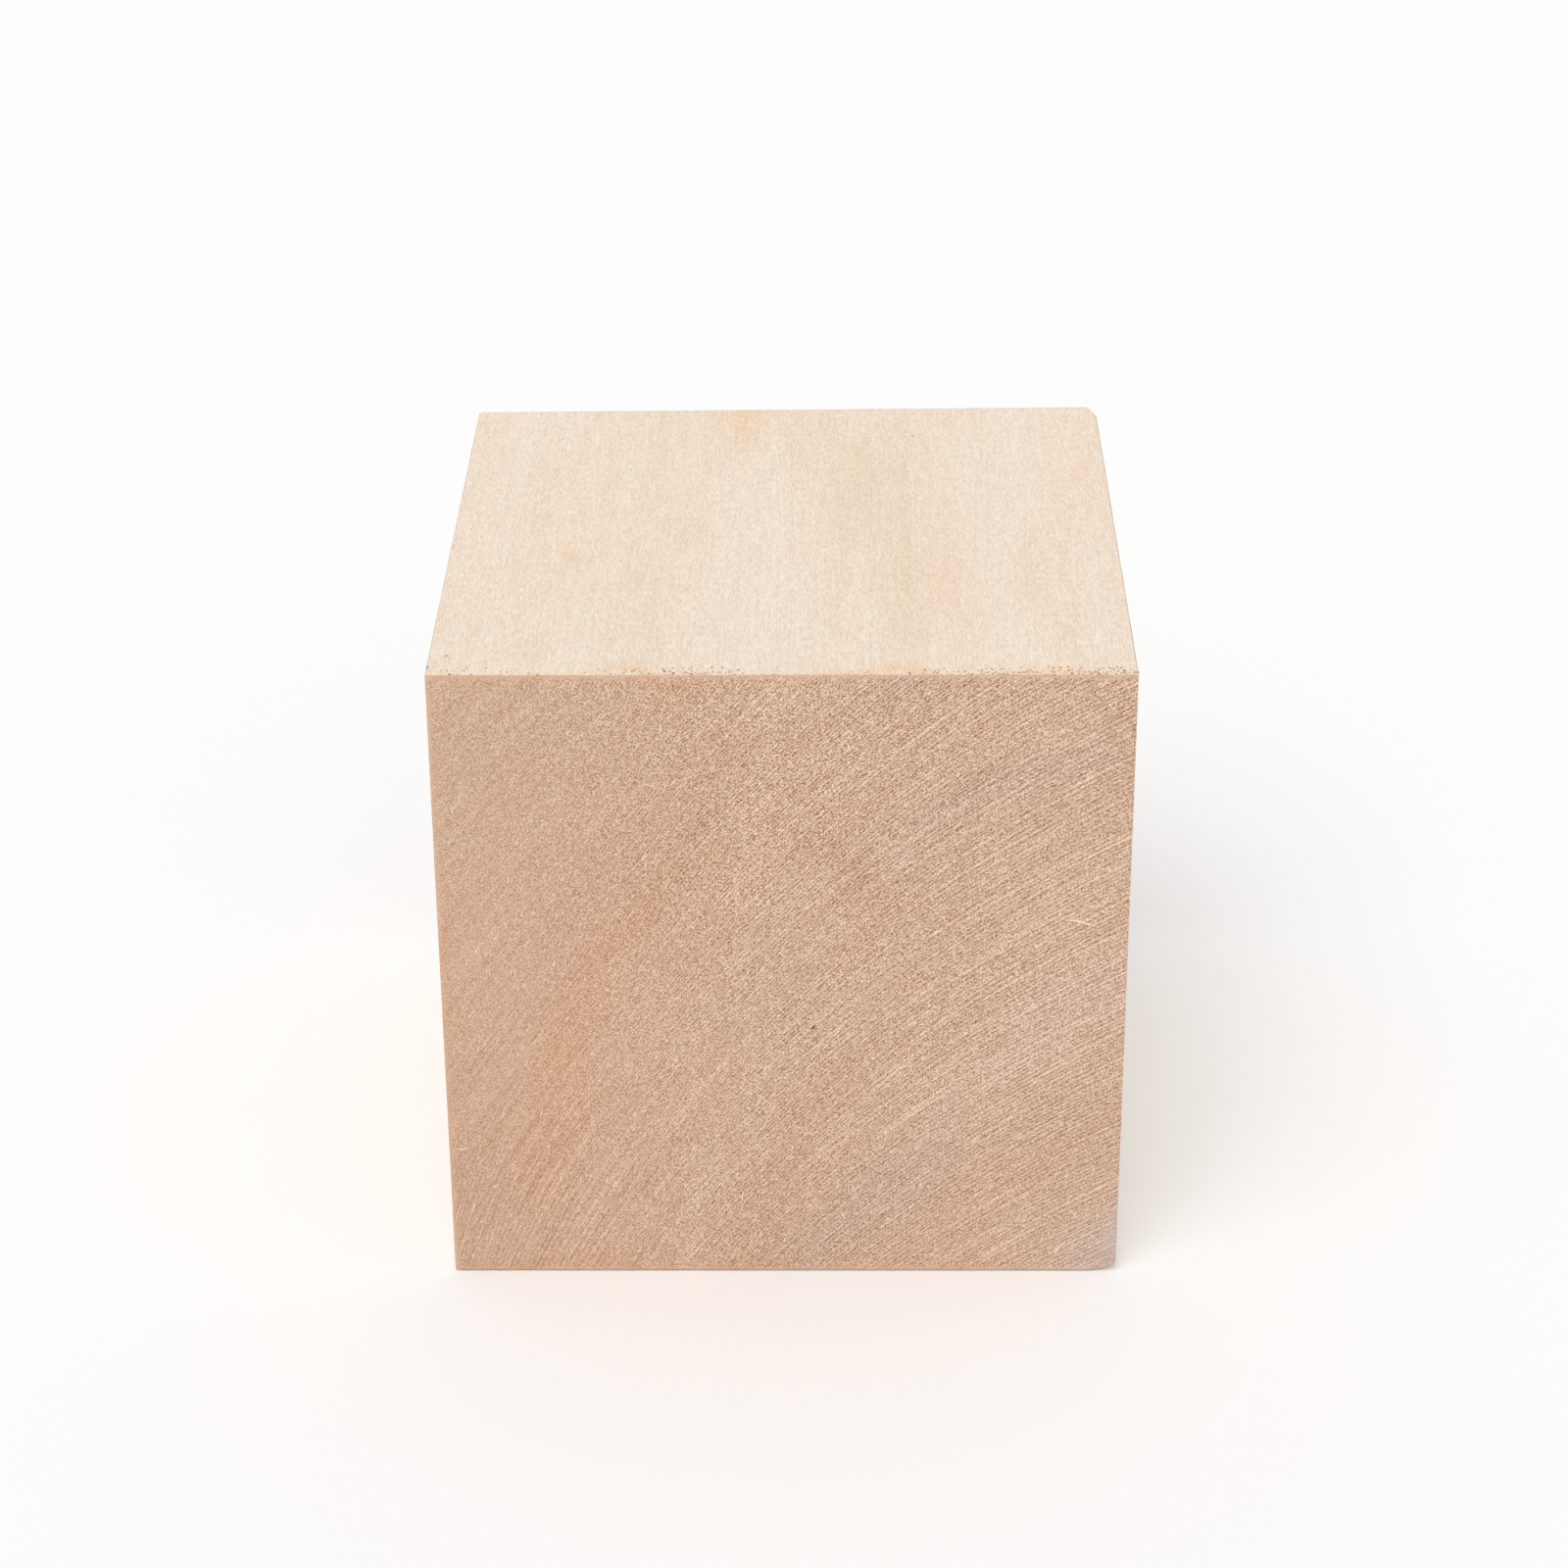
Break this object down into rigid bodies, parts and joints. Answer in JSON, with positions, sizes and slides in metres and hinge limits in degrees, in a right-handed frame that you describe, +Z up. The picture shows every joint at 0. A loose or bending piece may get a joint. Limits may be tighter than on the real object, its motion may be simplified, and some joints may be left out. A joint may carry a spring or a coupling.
{
  "type": "wooden cube",
  "caption": "Solid cube of pale fine-grained wood with circular-saw marks on its end grain, lightly eased edges and a few worn corners. Stands on any face.",
  "frame": {"origin": "middle of the resting face", "axes": "+Z up from the resting face, -Y the front, which is sawn end grain; the wood's fibres run along Y"},
  "size_m": [0.1, 0.1006, 0.1],
  "materials": {
    "wood": "bare planed sides and sawn end grain, matt"
  },
  "bodies": {
    "root": {"wooden_cube": "wood"}
  },
  "joints": []
}
